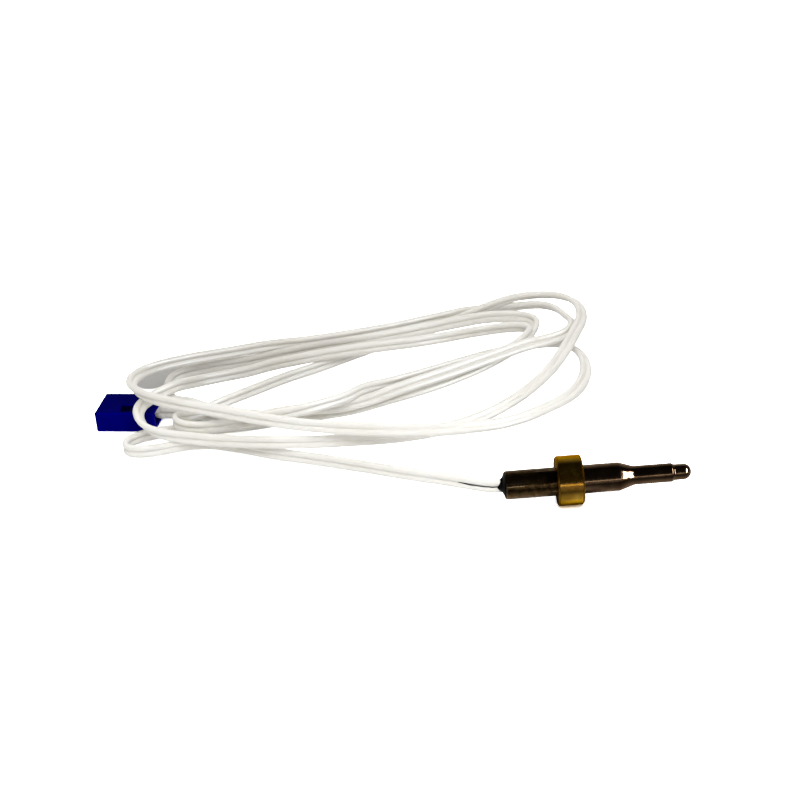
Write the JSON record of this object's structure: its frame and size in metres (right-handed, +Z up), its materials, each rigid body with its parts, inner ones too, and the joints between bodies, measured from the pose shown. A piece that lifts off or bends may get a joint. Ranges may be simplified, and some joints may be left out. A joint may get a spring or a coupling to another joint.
{
  "type": "flame sensor probe",
  "caption": "Stepped metal sheath flame sensor with a press-on brass collar, black potting, a loose coil of white flat twin cable and a small navy crimp connector.",
  "frame": {"origin": "centre of the brass collar's front face, on the probe axis", "axes": "+X along the probe axis towards the sensing tip; +Z up, away from the surface the assembly lies on"},
  "size_m": [0.1305, 0.0915, 0.0125],
  "materials": {
    "sheath": "burnished dark bronze tint",
    "collar": "turned, satin",
    "element": "matt",
    "bead": "clear amber",
    "fine_wire": "bright",
    "ceramic": "matt",
    "powder_fill": "powder",
    "tinned": "tinned",
    "sleeve": "matt",
    "potting": "black resin",
    "cable_jacket": "white, slightly glossy",
    "conductor": "bare stranded copper",
    "housing": "navy moulded",
    "retainer": "dark navy moulded"
  },
  "bodies": {
    "probe": {"sheath_tube": "sheath", "brass_collar": "collar", "sensing_element": "element", "element_glass_bead": "bead", "element_leads": "fine_wire", "ceramic_insulator": "ceramic", "tip_fill": "powder_fill", "splice_ferrules": "tinned", "splice_sleeves": "sleeve", "barrel_liner": "sleeve", "potting_plug": "potting", "lead_jacket_a": "cable_jacket", "lead_jacket_b": "cable_jacket", "lead_conductor_a": "conductor", "lead_conductor_b": "conductor"},
    "cable_coil": {"coil_jacket_a": "cable_jacket", "coil_jacket_b": "cable_jacket", "coil_conductor_a": "conductor", "coil_conductor_b": "conductor"},
    "plug": {"plug_housing": "housing", "plug_terminals": "tinned", "terminal_retainer": "retainer", "tail_jacket_a": "cable_jacket", "tail_jacket_b": "cable_jacket", "tail_conductor_a": "conductor", "tail_conductor_b": "conductor"}
  },
  "joints": [
    {"name": "lead_swing", "type": "hinge", "parent": "probe", "child": "cable_coil", "pos_m": [-0.02659, 0.00503, -0.00088], "axis": [0, 0, 1], "range_deg": [-40, 45]},
    {"name": "plug_swing", "type": "hinge", "parent": "cable_coil", "child": "plug", "pos_m": [-0.0852, 0.04833, -0.00275], "axis": [0, 0, 1], "range_deg": [-3, 20]}
  ]
}
